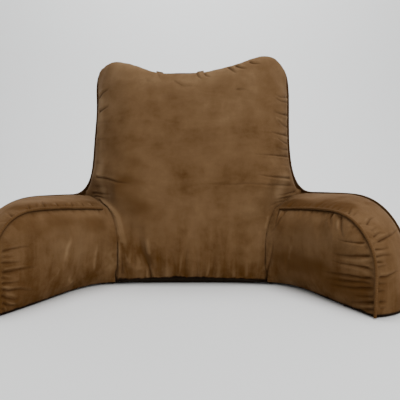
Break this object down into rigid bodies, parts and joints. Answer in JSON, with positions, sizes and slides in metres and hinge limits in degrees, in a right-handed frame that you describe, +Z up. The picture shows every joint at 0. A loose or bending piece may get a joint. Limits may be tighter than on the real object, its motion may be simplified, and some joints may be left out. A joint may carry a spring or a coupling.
{
  "type": "reading pillow with arms",
  "caption": "Standing reading pillow: filled back rest with a dipped crest and raised corners, filled arms reaching forward, self piping in the seams and a flat carry handle.",
  "frame": {"origin": "middle of the pillow's box, on the surface it stands on", "axes": "+Z up, +Y from the sitter's side to the rear, +X to the right as seen from the sitter's side"},
  "size_m": [0.7942, 0.3673, 0.48],
  "materials": {
    "cloth": "brown faux suede with a brushed nap",
    "piping": "the same cloth over a cord, dark in the outline seam"
  },
  "bodies": {
    "root": {"backrest": "cloth", "arm_right": "cloth", "arm_left": "cloth", "piping_outline": "piping", "piping_arm_right": "cloth", "piping_arm_left": "cloth", "handle": "cloth"}
  },
  "joints": []
}
